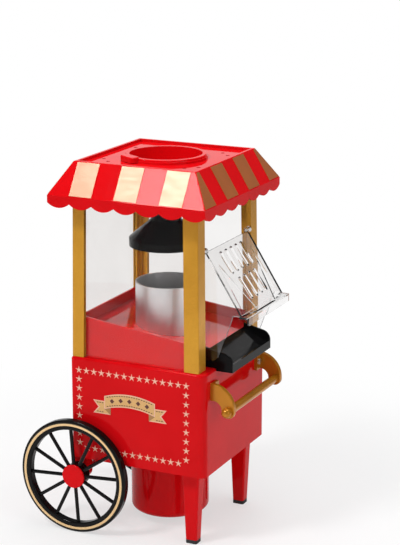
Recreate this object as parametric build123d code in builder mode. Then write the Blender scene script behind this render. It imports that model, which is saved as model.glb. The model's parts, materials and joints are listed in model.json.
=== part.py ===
from build123d import *
import os
from math import cos, radians, sin, tan

# A hot-air popcorn maker in the form of a small fairground cart. A fan and heater in the base blow popped
# corn up into a glazed cabin, and it slides down a ramp to the chute behind the clear serving flap.
# The front faces +X. Left is -Y, as seen by someone standing in front of the flap. Heights start at the table.

# Fits between pieces
running_gap = 0.05
slip_gap = 0.15
free_gap = 0.4

# Base housing
base_length = 152.0
base_width = 151.0
base_bottom = 77.6
base_height = 109.4
base_wall = 2.6
base_deck = 3.0
base_corner = 8.0
base_rear_corner = 3.3
base_edge = 3.0
base_ahead = 3.0
floor_plate = 3.0
boss_radius = 5.0
boss_inset = 10.0

# Screws
screw_shank = 1.5
screw_head = 3.0
screw_head_height = 2.0
screw_grip = 8.0

# Cabin
cabin_length = 143.6
cabin_width = 147.0
cabin_draft = 0.75
front_post_leg = 16.0
rear_post_leg = 13.4
post_wall = 5.0
post_round = 1.2
post_core = 8.0
post_screw_inset = 5.2
pane_wall = 2.0
pane_inset = 1.5
pane_groove = 4.0
crown_height = 5.0
crown_width = 12.0
crown_inset = 1.5
crown_hole_inset = 7.5
roof_boss = 4.0
roof_boss_height = 3.5

# Roof
roof_top = 390.0
roof_height = 32.5
roof_length = 134.6
roof_width = 141.2
eave_length = 174.2
eave_width = 182.2
roof_wall = 2.4
roof_recess = 3.0
roof_panel = 2.5
roof_rim = 3.0
roof_round = 1.0
valance_drop = 7.5
valance_wall = 2.2
scallop_count = 7
scallop_sag = 4.7
stripe_foil = 0.4
stripe_margin = 1.0
collar_radius = 42.8
collar_height = 2.5
cup_hole = 39.6
vent_radius = 2.1
vent_inset_ahead = 14.3
vent_inset_across = 25.6
vent_spread = 10.5

# Measuring cup that closes the roof
cup_wall = 1.8
cup_depth = 21.0
cup_flange = 41.8
cup_flange_height = 2.0
cup_flange_round = 1.2
cup_tab_width = 23.0
cup_tab_reach = 6.0
cup_tab_overlap = 3.3
cup_tab_rise = 1.5
cup_tab_corner = 3.5
cup_tab_round = 0.9
cup_tab_angle = -120.0

# Kernel funnel and popcorn hood under the roof
funnel_wall = 1.8
funnel_flange = 52.0
funnel_flange_height = 2.5
funnel_screw_inset = 4.0
funnel_throat = 12.0
funnel_straight = 19.0
funnel_cone = 18.0
hood_wall = 2.0
hood_radius = 38.5
hood_bottom = 296.0
hood_band = 8.0
hood_cone = 19.0

# Ramp in the cabin
ramp_wall = 2.2
ramp_rear = 218.9
ramp_front = 203.0
ramp_skirt = 10.8

# Serving chute
chute_half_width = 48.4
chute_wall = 2.4
chute_reach = 97.0
chute_drop = 3.0
chute_front_height = 8.6
chute_lip_rise = 1.6
chute_round = 0.8
chute_floor_rise = 11.0
chute_shoulder_set_back = 9.0
chute_shoulder_rise = 10.4
chute_back_rise = 15.4

# Clear serving flap, hung from a hinge near the top of the opening
flap_hinge_height = 307.0
flap_wall = 2.0
flap_slope = 32.3
flap_length = 74.0
flap_lip = 8.6
flap_lip_drop = 8.0
flap_cheek_bottom = 195.0
flap_cheek_reach = 14.0
flap_cheek_round = 10.0
flap_ear = 3.2
flap_panel_start = 4.0
flap_panel_foot = 6.5
flap_panel_half_top = 45.0
flap_panel_half_low = 21.0
vent_slot_width = 4.6
vent_slot_length = 26.0
vent_slot_pitch = 12.1
vent_slots_upper = 5
vent_slots_lower = 4
vent_slot_start = 3.0
vent_slot_row_gap = 5.0
hinge_pin = 1.5
hinge_pin_grip = 4.5

# Push handle
handle_arm_inner = 56.5
handle_arm_wall = 5.0
handle_arm_round = 0.8
handle_straight = 0.3
handle_top = 174.8
handle_root_height = 18.0
handle_rod_ahead = 19.0
handle_drop = 27.4
handle_eye = 7.0
handle_rod = 4.4
handle_spigot = 2.8
handle_ball = 5.2
handle_foot_width = 9.0
handle_foot_wall = 3.0

# Wheels and axle
wheel_radius = 61.0
wheel_behind = 65.3
wheel_width = 9.0
wheel_clear = 5.0
rim_depth = 10.5
rim_round = 1.6
trim_inner = 55.2
trim_width = 3.5
trim_seat = 1.0
trim_proud = 0.5
spoke_count = 12
spoke_radius = 1.9
spoke_phase = 4.0
hub_radius = 12.7
hub_set_back = 2.2
hubcap_radius = 12.6
hubcap_wall = 1.8
hubcap_round = 0.8
hubcap_skirt = 1.2
axle_radius = 3.0
clip_radius = 5.2
clip_wall = 1.2
bracket_width = 16.0
bracket_wall = 11.0
bracket_round = 8.0

# Front legs
leg_top_length = 19.0
leg_top_width = 14.5
leg_foot_length = 12.5
leg_foot_width = 12.0
leg_inset_ahead = 20.5
leg_inset_across = 17.0
leg_corner = 2.0
foot_height = 4.0

# Motor can below the base, and what it holds, on the axis of the popping chamber
popper_ahead = 3.0
can_radius = 41.3
can_bottom = 9.5
can_wall = 2.5
can_round = 6.0
can_lip = 6.0
can_lip_height = 4.0
can_slot_count = 5
can_slot_width = 4.0
can_slot_length = 46.0
can_slot_pitch = 9.0
motor_radius = 15.0
motor_height = 30.0
mount_height = 46.0
mount_wall = 3.0
mount_arm = 8.0
mount_ring = 4.0
mount_ledge = 2.3
motor_screw_circle = 10.0
shaft_radius = 2.0
shaft_grip = 18.0
fan_radius = 34.0
fan_hub = 8.0
fan_height = 12.0
fan_lift = 3.0
fan_blades = 7
fan_blade_wall = 1.4
fan_blade_chord = 12.0
fan_blade_pitch = 50.0
can_screw_circle = 35.5

# Heater and popping chamber in the base
air_hole = 31.0
duct_radius = 40.0
duct_wall = 0.9
duct_flange_height = 1.2
duct_height = 62.0
mica_wall = 1.0
mica_height = 26.0
mica_half_width = 30.8
mica_foot = 36.0
mica_foot_height = 5.0
coil_radius = 33.2
coil_wire = 1.9
coil_pitch = 9.0
coil_count = 2
chamber_radius = 34.5
chamber_wall = 1.2
chamber_depth = 74.0
chamber_flange = 43.0
chamber_slot_count = 16
chamber_slot_width = 2.0
chamber_slot_height = 14.0
chamber_slot_lift = 4.0
chamber_screw_circle = 39.0
tube_radius = 35.0
tube_wall = 2.0
tube_top = 258.0
tube_flange_height = 2.0

# Electrical pieces in the base
switch_across = 32.0
switch_height = 108.0
switch_length = 21.0
switch_width = 15.0
switch_bezel = 2.5
switch_depth = 14.0
switch_wall = 1.6
switch_flange = 1.8
rocker_pin = 1.2
rocker_tilt = 8.0
rocker_proud = 1.0
rocker_depth = 1.5
rocker_back = 3.0
rocker_gap = 1.0
gland_across = -34.0
gland_height = 98.0
gland_flange = 8.5
gland_neck = 5.5
gland_bore = 3.6
gland_length = 14.0
gland_head = 5.0
cutout_length = 12.0
cutout_width = 9.0
cutout_height = 8.0
cutout_lift = 30.0

# Heights and distances that follow from the sizes above
base_top = base_bottom + base_height
base_half = base_length / 2
base_front = base_ahead + base_half
base_rear = base_ahead - base_half
floor_top = base_bottom + floor_plate
leg_ahead = base_front - leg_inset_ahead
leg_across = base_width / 2 - leg_inset_across
roof_floor = roof_top - roof_recess
roof_seat = roof_floor - roof_panel
eave_height = roof_top - roof_height
post_top = roof_seat - crown_height
cabin_tilt = tan(radians(cabin_draft))
post_drawn = (post_top - base_top) * cabin_tilt
crown_length = cabin_length - 2 * (post_drawn + crown_inset)
crown_wide = cabin_width - 2 * (post_drawn + crown_inset)
crown_screw_ahead = cabin_length / 2 - post_drawn - post_screw_inset
crown_screw_across = cabin_width / 2 - post_drawn - post_screw_inset
collar_top = roof_floor + collar_height
hinge_drawn = (flap_hinge_height - base_top) * cabin_tilt
hinge_ahead = cabin_length / 2 - hinge_drawn - post_wall / 2
hinge_post_face = cabin_width / 2 - hinge_drawn - front_post_leg
hinge_pin_end = hinge_post_face + hinge_pin_grip
flap_end_ahead = hinge_ahead + flap_length * sin(radians(flap_slope))
flap_end_height = flap_hinge_height - flap_length * cos(radians(flap_slope))
flap_front = flap_end_ahead + flap_lip
cheek_inner = chute_half_width + 2 * free_gap
cheek_outer = cheek_inner + flap_wall
wheel_inner = base_width / 2 + wheel_clear
wheel_outer = wheel_inner + wheel_width
hub_outer = wheel_outer - hub_set_back
hub_recess = 2 * (clip_wall + free_gap)
clip_seat = hub_outer - hub_recess + free_gap
axle_height = wheel_radius
rod_ahead = base_front + handle_rod_ahead
handle_rod_height = handle_top - handle_drop
handle_turn = min(handle_drop, handle_rod_ahead + handle_eye) - handle_straight
handle_inner_turn = min(handle_drop - handle_root_height, handle_rod_ahead - handle_eye) - handle_straight
chute_bottom = base_top - chute_drop
chute_lip = chute_bottom + chute_front_height
chute_high = chute_lip + chute_floor_rise
chute_shoulder_ahead = chute_reach - chute_shoulder_set_back
chute_shoulder = chute_lip + chute_shoulder_rise
chute_back = chute_lip + chute_back_rise
handle_arm_outer = handle_arm_inner + handle_arm_wall
ramp_inset = post_wall + free_gap
cup_radius = cup_hole - free_gap
funnel_radius = cup_hole + free_gap + funnel_wall
funnel_top = roof_seat
funnel_screw_circle = funnel_flange - funnel_screw_inset
funnel_shoulder = funnel_top - funnel_straight
funnel_neck_top = funnel_shoulder - funnel_cone
hood_neck = funnel_throat + funnel_wall + slip_gap
hood_shoulder = hood_bottom + hood_band
hood_neck_bottom = hood_shoulder + hood_cone
motor_top = mount_height
fan_bottom = mount_height + mount_wall + fan_lift
fan_top = fan_bottom + fan_height
chamber_bottom = base_top - chamber_depth
tube_seat = base_top + chamber_wall

# The origin lies under the middle of the whole cart, between the wheels' back and the flap's lip
cart_x = (wheel_behind + wheel_radius - flap_front) / 2

os.makedirs("parts", exist_ok=True)


def level(height, ahead=0.0, across=0.0):
    """Horizontal plane at a height, with its origin on the cabin's axis or set off from it."""
    return Plane((cart_x + ahead, across, height))


def upright(across, ahead=0.0, height=0.0):
    """Plane along the cart that faces -Y, with its own x along the cart and its own y upwards."""
    return Plane((cart_x + ahead, across, height), x_dir=(1, 0, 0), z_dir=(0, -1, 0))


def facing_front(ahead, across=0.0, height=0.0):
    """Plane across the cart that faces +X, with its own x along +Y and its own y upwards."""
    return Plane((cart_x + ahead, across, height), x_dir=(0, 1, 0), z_dir=(1, 0, 0))


def save(piece, name):
    """Label a finished piece and write it."""
    piece.label = name
    export_step(piece, f"parts/{name}.step")


def under(height, ahead=0.0, across=0.0):
    """Horizontal plane that faces down."""
    return Plane((cart_x + ahead, across, height), x_dir=(1, 0, 0), z_dir=(0, 0, -1))


def ring_places(radius, count):
    """Points evenly spaced on a circle, as distances ahead and across."""
    turns = [radians(360 * step / count) for step in range(count)]
    return [(radius * cos(turn), radius * sin(turn)) for turn in turns]


def screw(seat, grip):
    """Pan-head screw: its head stands on the seat plane and its shank runs back from it."""
    with BuildPart() as fastener:
        with BuildSketch(seat):
            Circle(screw_head)
        extrude(amount=screw_head_height)
        fillet(fastener.faces().sort_by(Axis(seat.origin, seat.z_dir))[-1].edges(), screw_head_height / 3)
        with BuildSketch(seat):
            Circle(screw_shank - running_gap)
        extrude(amount=-grip)
    return fastener.part


def screw_group(seats, grip):
    """The identical screws of one joint, as separate solids."""
    with BuildPart() as group:
        for seat in seats:
            add(screw(seat, grip))
    return group.part


def tapered_block(low, high, low_size, high_size, ahead=0.0, across=0.0):
    """Flat-sided solid whose length and width change evenly from one height to another."""
    with BuildPart() as block:
        for sketch_plane, first, last in (
            (upright(across, ahead), low_size[0], high_size[0]),
            (facing_front(ahead, across), low_size[1], high_size[1]),
        ):
            with BuildSketch(sketch_plane):
                Polygon(
                    (-first / 2, low), (first / 2, low), (last / 2, high), (-last / 2, high), align=None
                )
            reach = max(low_size + high_size)
            extrude(amount=reach, both=True, mode=Mode.INTERSECT if block.part else Mode.ADD)
    return block.part


def cabin_block(inset, low, high):
    """Solid with the cabin's tapered outline, drawn in by an inset, between two heights."""
    drawn = 2 * (inset + (low - base_top) * cabin_tilt)
    with BuildPart() as block:
        with BuildSketch(level(low)):
            Rectangle(cabin_length - drawn, cabin_width - drawn)
        extrude(amount=high - low, taper=cabin_draft)
    return block.part


def base_outline(inset):
    """The base's outline, drawn in by an inset, with rounder corners in front than behind."""
    with BuildSketch() as outline:
        Rectangle(base_length - 2 * inset, base_width - 2 * inset)
        fillet(outline.vertices().group_by(Axis.X)[-1], base_corner - inset)
        fillet(outline.vertices().group_by(Axis.X)[0], base_rear_corner - inset)
    return outline.sketch


# Base housing: a moulded box, open below, with screw columns under its deck
boss_places = [
    (base_half - boss_inset, 0),
    (boss_inset - base_half, 0),
    (0, base_width / 2 - boss_inset),
    (0, boss_inset - base_width / 2),
]
handle_screw_across = handle_arm_inner - handle_foot_width / 2
handle_screw_height = handle_top - handle_root_height / 2
with BuildPart() as base_housing:
    with BuildSketch(level(base_bottom, base_ahead)):
        add(base_outline(0))
    extrude(amount=base_height)
    fillet(base_housing.faces().sort_by(Axis.Z)[-1].edges(), base_edge)
    with BuildSketch(level(base_bottom, base_ahead)):
        add(base_outline(base_wall))
    extrude(amount=base_height - base_deck, mode=Mode.SUBTRACT)
    with BuildSketch(level(floor_top, base_ahead)):
        with Locations(*boss_places):
            Circle(boss_radius)
    extrude(amount=base_top - base_deck - floor_top)
    with BuildSketch(level(floor_top, base_ahead)):
        with Locations(*boss_places):
            Circle(screw_shank)
    extrude(amount=2 * screw_grip, mode=Mode.SUBTRACT)
    with BuildSketch(level(base_top, popper_ahead)):
        Circle(chamber_radius + free_gap)
        with PolarLocations(chamber_screw_circle, 3):
            Circle(screw_shank)
    extrude(amount=-base_deck, mode=Mode.SUBTRACT)
    with BuildSketch(facing_front(base_front, 0, handle_screw_height)):
        with Locations((handle_screw_across, 0), (-handle_screw_across, 0)):
            Circle(screw_shank)
    extrude(amount=-base_wall, mode=Mode.SUBTRACT)
    with BuildSketch(facing_front(base_rear)):
        with Locations((switch_across, switch_height)):
            Rectangle(switch_width + 2 * slip_gap, switch_length + 2 * slip_gap)
        with Locations((gland_across, gland_height)):
            Circle(gland_neck + slip_gap)
    extrude(amount=base_wall, mode=Mode.SUBTRACT)
save(base_housing.part, "base_housing")

# Floor plate that closes the base and carries the motor can, the legs and the heater
leg_places = [(leg_ahead, leg_across), (leg_ahead, -leg_across)]
bracket_middle = base_width / 2 - base_wall - free_gap - bracket_wall / 2
bracket_places = [(-wheel_behind, bracket_middle), (-wheel_behind, -bracket_middle)]
with BuildPart() as base_floor:
    with BuildSketch(level(base_bottom, base_ahead)):
        add(base_outline(base_wall + slip_gap))
    extrude(amount=floor_plate)
    with BuildSketch(level(base_bottom, base_ahead)):
        with Locations(*boss_places):
            Circle(screw_shank + slip_gap)
    extrude(amount=floor_plate, mode=Mode.SUBTRACT)
    with BuildSketch(level(base_bottom)):
        with Locations(*leg_places, *bracket_places):
            Circle(screw_shank + slip_gap)
    extrude(amount=floor_plate, mode=Mode.SUBTRACT)
    with BuildSketch(level(base_bottom, popper_ahead)):
        Circle(air_hole)
        with PolarLocations(can_screw_circle, 3):
            Circle(screw_shank + slip_gap)
    extrude(amount=floor_plate, mode=Mode.SUBTRACT)
save(base_floor.part, "base_floor")

base_screw_seats = [under(base_bottom, base_ahead + ahead, across) for ahead, across in boss_places]
save(screw_group(base_screw_seats, floor_plate + screw_grip), "base_screws")


# Front legs and rear axle brackets hang from the floor plate
def front_leg(across):
    """Square leg that tapers towards its foot."""
    with BuildPart() as leg:
        add(
            tapered_block(
                foot_height,
                base_bottom,
                (leg_foot_length, leg_foot_width),
                (leg_top_length, leg_top_width),
                leg_ahead,
                across,
            )
        )
        fillet(leg.edges().filter_by(lambda edge: edge.length > base_bottom - foot_height), leg_corner)
        with BuildSketch(under(base_bottom, leg_ahead, across)):
            Circle(screw_shank)
        extrude(amount=2 * screw_grip, mode=Mode.SUBTRACT)
    return leg.part


save(front_leg(-leg_across), "leg_front_left")
save(front_leg(leg_across), "leg_front_right")

with BuildPart() as rubber_feet:
    with BuildSketch(level(0)):
        with Locations(*leg_places):
            RectangleRounded(leg_foot_length, leg_foot_width, leg_corner)
    extrude(amount=foot_height)
save(rubber_feet.part, "rubber_feet")


def axle_bracket(side):
    """Rounded lug under a rear corner that holds the axle."""
    outer = base_width / 2 - base_wall - free_gap
    with BuildPart() as bracket:
        with BuildSketch(upright(side * (outer - bracket_wall), -wheel_behind)):
            with Locations((0, (base_bottom + axle_height) / 2)):
                Rectangle(bracket_width, base_bottom - axle_height)
            with Locations((0, axle_height)):
                Circle(bracket_round)
        extrude(amount=-side * bracket_wall)
        with BuildSketch(upright(0, -wheel_behind)):
            with Locations((0, axle_height)):
                Circle(axle_radius + running_gap)
        extrude(amount=base_width, both=True, mode=Mode.SUBTRACT)
        with BuildSketch(under(base_bottom, -wheel_behind, side * bracket_middle)):
            Circle(screw_shank)
        extrude(amount=screw_grip, mode=Mode.SUBTRACT)
    return bracket.part


save(axle_bracket(-1), "axle_bracket_left")
save(axle_bracket(1), "axle_bracket_right")

leg_screw_seats = [level(floor_top, ahead, across) for ahead, across in leg_places + bracket_places]
save(screw_group(leg_screw_seats, floor_plate + screw_grip), "leg_screws")

# Axle through both brackets, with a push-on clip in a recess of each hub
axle_end = hub_outer - free_gap
with BuildPart() as wheel_axle:
    with BuildSketch(upright(0, -wheel_behind, axle_height)):
        Circle(axle_radius)
    extrude(amount=axle_end, both=True)
save(wheel_axle.part, "wheel_axle")

with BuildPart() as axle_clips:
    for side in (-1, 1):
        with BuildSketch(upright(side * clip_seat, -wheel_behind, axle_height)):
            Circle(clip_radius)
            Circle(axle_radius + running_gap / 2, mode=Mode.SUBTRACT)
        extrude(amount=-side * clip_wall)
save(axle_clips.part, "axle_clips")


# Spoked wheels, each with a trim ring let into its rim and a cap over the axle's end
hub_recess_radius = clip_radius + free_gap + hubcap_skirt


def wheel(side):
    """Rim, round spokes and hub in one moulding."""
    with BuildPart() as body:
        with BuildSketch(upright(side * wheel_inner, -wheel_behind, axle_height)):
            Circle(wheel_radius)
            Circle(wheel_radius - rim_depth, mode=Mode.SUBTRACT)
        extrude(amount=-side * wheel_width)
        fillet(body.edges().filter_by(GeomType.CIRCLE), rim_round)
        with BuildSketch(upright(side * wheel_outer, -wheel_behind, axle_height)):
            Circle(trim_inner + trim_width)
            Circle(trim_inner, mode=Mode.SUBTRACT)
        extrude(amount=side * trim_seat, mode=Mode.SUBTRACT)
        hub_inner = base_width / 2 + free_gap
        with BuildSketch(upright(side * hub_inner, -wheel_behind, axle_height)):
            Circle(hub_radius)
        extrude(amount=-side * (hub_outer - hub_inner))
        middle = (cart_x - wheel_behind, side * (wheel_inner + wheel_width / 2), axle_height)
        for spoke in range(spoke_count):
            turn = radians(360 * spoke / spoke_count + spoke_phase)
            with BuildSketch(Plane(middle, x_dir=(0, 1, 0), z_dir=(cos(turn), 0, sin(turn)))):
                Circle(spoke_radius)
            extrude(amount=wheel_radius - rim_depth / 2)
        with BuildSketch(upright(0, -wheel_behind, axle_height)):
            Circle(axle_radius + running_gap)
        extrude(amount=base_width, both=True, mode=Mode.SUBTRACT)
        with BuildSketch(upright(side * hub_outer, -wheel_behind, axle_height)):
            Circle(hub_recess_radius)
        extrude(amount=side * hub_recess, mode=Mode.SUBTRACT)
    return body.part


def wheel_trim(side):
    """Thin ring that fills the groove in the rim and stands a little proud."""
    with BuildPart() as ring:
        with BuildSketch(upright(side * (wheel_outer - trim_seat), -wheel_behind, axle_height)):
            Circle(trim_inner + trim_width - running_gap)
            Circle(trim_inner + running_gap, mode=Mode.SUBTRACT)
        extrude(amount=-side * (trim_seat + trim_proud))
    return ring.part


def hub_cap(side):
    """Flat disc on the hub's face, with a skirt that grips the recess around the axle's clip."""
    with BuildPart() as cap:
        with BuildSketch(upright(side * hub_outer, -wheel_behind, axle_height)):
            Circle(hubcap_radius)
        extrude(amount=-side * hubcap_wall)
        outward = Axis((0, 0, 0), (0, side, 0))
        fillet(cap.faces().sort_by(outward)[-1].edges(), hubcap_round)
        with BuildSketch(upright(side * hub_outer, -wheel_behind, axle_height)):
            Circle(hub_recess_radius - running_gap)
            Circle(clip_radius + free_gap, mode=Mode.SUBTRACT)
        extrude(amount=side * (hub_recess - free_gap))
    return cap.part


for side, name in ((-1, "left"), (1, "right")):
    save(wheel(side), f"wheel_{name}")
    save(wheel_trim(side), f"wheel_trim_{name}")
    save(hub_cap(side), f"hub_cap_{name}")

# Motor can: a cup under the base with air slots in its bottom and a lip that screws to the floor plate
can_inner = can_radius - can_wall
with BuildPart() as motor_can:
    with BuildSketch(level(can_bottom, popper_ahead)):
        Circle(can_radius)
    extrude(amount=base_bottom - can_bottom)
    fillet(motor_can.faces().sort_by(Axis.Z)[0].edges(), can_round)
    with BuildSketch(level(can_bottom + can_wall, popper_ahead)):
        Circle(can_inner)
    extrude(amount=base_bottom - can_bottom - can_wall, mode=Mode.SUBTRACT)
    with BuildSketch(level(base_bottom - can_lip_height, popper_ahead)):
        Circle(can_inner)
        Circle(can_inner - can_lip, mode=Mode.SUBTRACT)
    extrude(amount=can_lip_height)
    with BuildSketch(level(mount_height - mount_wall, popper_ahead)):
        Circle(can_inner)
        Circle(can_inner - mount_ledge, mode=Mode.SUBTRACT)
    extrude(amount=mount_wall)
    with BuildSketch(level(base_bottom, popper_ahead)):
        with PolarLocations(can_screw_circle, 3):
            Circle(screw_shank)
    extrude(amount=-can_lip_height, mode=Mode.SUBTRACT)
    with BuildSketch(level(can_bottom, popper_ahead)):
        with GridLocations(can_slot_pitch, 0, can_slot_count, 1):
            SlotOverall(can_slot_length, can_slot_width, rotation=90)
    extrude(amount=can_wall, mode=Mode.SUBTRACT)
save(motor_can.part, "motor_can")

can_screw_seats = [
    level(floor_top + duct_flange_height, popper_ahead + ahead, across)
    for ahead, across in ring_places(can_screw_circle, 3)
]
save(screw_group(can_screw_seats, duct_flange_height + floor_plate + can_lip_height), "motor_can_screws")

# Motor, its three-armed mount on the can's ledge, and the fan above it
mount_outer = can_inner - slip_gap
motor_screw_places = ring_places(motor_screw_circle, 2)
with BuildPart() as motor_mount:
    with BuildSketch(level(mount_height, popper_ahead)):
        Circle(mount_outer)
        Circle(mount_outer - mount_ring, mode=Mode.SUBTRACT)
        Circle(motor_radius)
        with PolarLocations(mount_outer / 2, 3):
            Rectangle(mount_outer - mount_ring, mount_arm)
        Circle(2 * shaft_radius, mode=Mode.SUBTRACT)
        with Locations(*motor_screw_places):
            Circle(screw_shank + slip_gap, mode=Mode.SUBTRACT)
    extrude(amount=mount_wall)
save(motor_mount.part, "motor_mount")

with BuildPart() as fan_motor:
    with BuildSketch(level(motor_top, popper_ahead)):
        Circle(motor_radius)
    extrude(amount=-motor_height)
    fillet(fan_motor.faces().sort_by(Axis.Z)[0].edges(), motor_radius / 10)
    with BuildSketch(level(motor_top, popper_ahead)):
        Circle(shaft_radius + running_gap)
    extrude(amount=-shaft_grip - free_gap, mode=Mode.SUBTRACT)
    with BuildSketch(level(motor_top, popper_ahead)):
        with Locations(*motor_screw_places):
            Circle(screw_shank)
    extrude(amount=-screw_grip, mode=Mode.SUBTRACT)
save(fan_motor.part, "fan_motor")

motor_screw_seats = [
    level(mount_height + mount_wall, popper_ahead + ahead, across) for ahead, across in motor_screw_places
]
save(screw_group(motor_screw_seats, screw_grip), "motor_screws")

with BuildPart() as fan_shaft:
    with BuildSketch(level(motor_top - shaft_grip, popper_ahead)):
        Circle(shaft_radius)
    extrude(amount=shaft_grip + fan_top - motor_top)
save(fan_shaft.part, "fan_shaft")

with BuildPart() as fan_impeller:
    with BuildSketch(level(fan_bottom, popper_ahead)):
        Circle(fan_hub)
    extrude(amount=fan_height)
    for blade in range(fan_blades):
        turn = radians(360 * blade / fan_blades)
        hub_middle = (cart_x + popper_ahead, 0, fan_bottom + fan_height / 2)
        with BuildSketch(Plane(hub_middle, x_dir=(-sin(turn), cos(turn), 0), z_dir=(cos(turn), sin(turn), 0))):
            Rectangle(fan_blade_wall, fan_blade_chord, rotation=fan_blade_pitch)
        extrude(amount=fan_radius)
    with BuildSketch(level(fan_bottom, popper_ahead)):
        Circle(shaft_radius + running_gap / 2)
    extrude(amount=fan_height, mode=Mode.SUBTRACT)
save(fan_impeller.part, "fan_impeller")

# Hot-air duct on the floor plate, closed at the top around the popping chamber
with BuildPart() as heater_duct:
    with BuildSketch(level(floor_top, popper_ahead)):
        Circle(duct_radius)
    extrude(amount=duct_height)
    with BuildSketch(level(floor_top + duct_flange_height, popper_ahead)):
        Circle(duct_radius - duct_wall)
    extrude(amount=duct_height - 2 * duct_flange_height, mode=Mode.SUBTRACT)
    with BuildSketch(level(floor_top, popper_ahead)):
        Circle(air_hole)
        with PolarLocations(can_screw_circle, 3):
            Circle(screw_shank + slip_gap)
    extrude(amount=duct_flange_height, mode=Mode.SUBTRACT)
    with BuildSketch(level(floor_top + duct_height, popper_ahead)):
        Circle(chamber_radius + free_gap)
    extrude(amount=-duct_flange_height, mode=Mode.SUBTRACT)
save(heater_duct.part, "heater_duct")

# Crossed mica boards stand on the duct's flange and carry the heating coils
mica_bottom = floor_top + duct_flange_height
with BuildPart() as mica_frame:
    for turn in (45, 135):
        with BuildSketch(level(mica_bottom, popper_ahead)):
            Rectangle(2 * mica_foot, mica_wall, rotation=turn)
        extrude(amount=mica_foot_height)
        with BuildSketch(level(mica_bottom, popper_ahead)):
            Rectangle(2 * mica_half_width, mica_wall, rotation=turn)
        extrude(amount=mica_height)
save(mica_frame.part, "mica_frame")

coil_start = mica_bottom + mica_foot_height + coil_wire + free_gap
with BuildPart() as heating_coil:
    for turn in range(coil_count):
        with BuildSketch(upright(0, popper_ahead, coil_start + turn * coil_pitch)):
            with Locations((coil_radius, 0)):
                Circle(coil_wire)
        revolve(axis=Axis((cart_x + popper_ahead, 0, 0), (0, 0, 1)))
save(heating_coil.part, "heating_coil")

# Popping chamber: a metal cup hung in the deck by its flange, with slots that let hot air in
with BuildPart() as popping_chamber:
    with BuildSketch(level(chamber_bottom, popper_ahead)):
        Circle(chamber_radius)
    extrude(amount=chamber_depth)
    with BuildSketch(level(base_top, popper_ahead)):
        Circle(chamber_flange)
    extrude(amount=chamber_wall)
    with BuildSketch(level(chamber_bottom + chamber_wall, popper_ahead)):
        Circle(chamber_radius - chamber_wall)
    extrude(amount=chamber_depth, mode=Mode.SUBTRACT)
    for place in range(chamber_slot_count):
        turn = radians(360 * place / chamber_slot_count)
        slot_middle = chamber_bottom + chamber_slot_lift + chamber_slot_height / 2
        origin = (cart_x + popper_ahead, 0, slot_middle)
        with BuildSketch(Plane(origin, x_dir=(-sin(turn), cos(turn), 0), z_dir=(cos(turn), sin(turn), 0))):
            Rectangle(chamber_slot_width, chamber_slot_height)
        extrude(amount=2 * chamber_radius, mode=Mode.SUBTRACT)
    with BuildSketch(level(base_top, popper_ahead)):
        with PolarLocations(chamber_screw_circle, 3):
            Circle(screw_shank + slip_gap)
    extrude(amount=chamber_wall, mode=Mode.SUBTRACT)
save(popping_chamber.part, "popping_chamber")

with BuildPart() as popping_tube:
    with BuildSketch(level(tube_seat, popper_ahead)):
        Circle(chamber_flange)
    extrude(amount=tube_flange_height)
    with BuildSketch(level(tube_seat, popper_ahead)):
        Circle(tube_radius)
    extrude(amount=tube_top - tube_seat)
    with BuildSketch(level(tube_seat, popper_ahead)):
        Circle(tube_radius - tube_wall)
        with PolarLocations(chamber_screw_circle, 3):
            Circle(screw_shank + slip_gap)
    extrude(amount=tube_top - tube_seat, mode=Mode.SUBTRACT)
save(popping_tube.part, "popping_tube")

chamber_screw_seats = [
    level(tube_seat + tube_flange_height, popper_ahead + ahead, across)
    for ahead, across in ring_places(chamber_screw_circle, 3)
]
save(screw_group(chamber_screw_seats, tube_flange_height + chamber_wall + base_deck), "chamber_screws")

with BuildPart() as thermal_cutout:
    across = duct_radius + slip_gap + cutout_width / 2
    with BuildSketch(level(floor_top + cutout_lift, popper_ahead, across)):
        RectangleRounded(cutout_length, cutout_width, cutout_width / 8)
    extrude(amount=cutout_height)
save(thermal_cutout.part, "thermal_cutout")

# Rocker switch and cord gland in the rear wall
rocker_pivot = (cart_x + base_rear + rocker_depth, switch_across, switch_height)
with BuildPart() as switch_body:
    with BuildSketch(facing_front(base_rear, switch_across, switch_height)):
        RectangleRounded(switch_width + 2 * switch_bezel, switch_length + 2 * switch_bezel, switch_bezel)
    extrude(amount=-switch_flange)
    with BuildSketch(facing_front(base_rear, switch_across, switch_height)):
        Rectangle(switch_width, switch_length)
    extrude(amount=switch_depth)
    with BuildSketch(facing_front(base_rear - switch_flange, switch_across, switch_height)):
        Rectangle(switch_width - 2 * switch_wall, switch_length - 2 * switch_wall)
    extrude(amount=switch_flange + switch_depth - switch_wall, mode=Mode.SUBTRACT)
    with BuildSketch(Plane(rocker_pivot, x_dir=(1, 0, 0), z_dir=(0, -1, 0))):
        Circle(rocker_pin + running_gap)
    extrude(amount=switch_width / 2 - switch_wall / 4, both=True, mode=Mode.SUBTRACT)
save(switch_body.part, "switch_body")

# At rest the rocker leans to its off side, and its face is a shallow V
rocker_half_length = switch_length / 2 - switch_wall - rocker_gap
rocker_half_width = switch_width / 2 - switch_wall - free_gap
rocker_face = rocker_depth + switch_flange + rocker_proud
rocker_lean = radians(rocker_tilt)
with BuildPart() as switch_rocker:
    outward = (-cos(rocker_lean), 0, -sin(rocker_lean))
    with BuildSketch(Plane(rocker_pivot, x_dir=outward, z_dir=(0, 1, 0))):
        rise = rocker_half_length * tan(rocker_lean)
        Polygon(
            (-rocker_back, -rocker_half_length),
            (rocker_face + rise, -rocker_half_length),
            (rocker_face, 0),
            (rocker_face + rise, rocker_half_length),
            (-rocker_back, rocker_half_length),
            align=None,
        )
    extrude(amount=rocker_half_width, both=True)
    with BuildSketch(Plane(rocker_pivot, x_dir=(1, 0, 0), z_dir=(0, -1, 0))):
        Circle(rocker_pin)
    extrude(amount=switch_width / 2 - switch_wall / 2, both=True)
save(switch_rocker.part, "switch_rocker")

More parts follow.
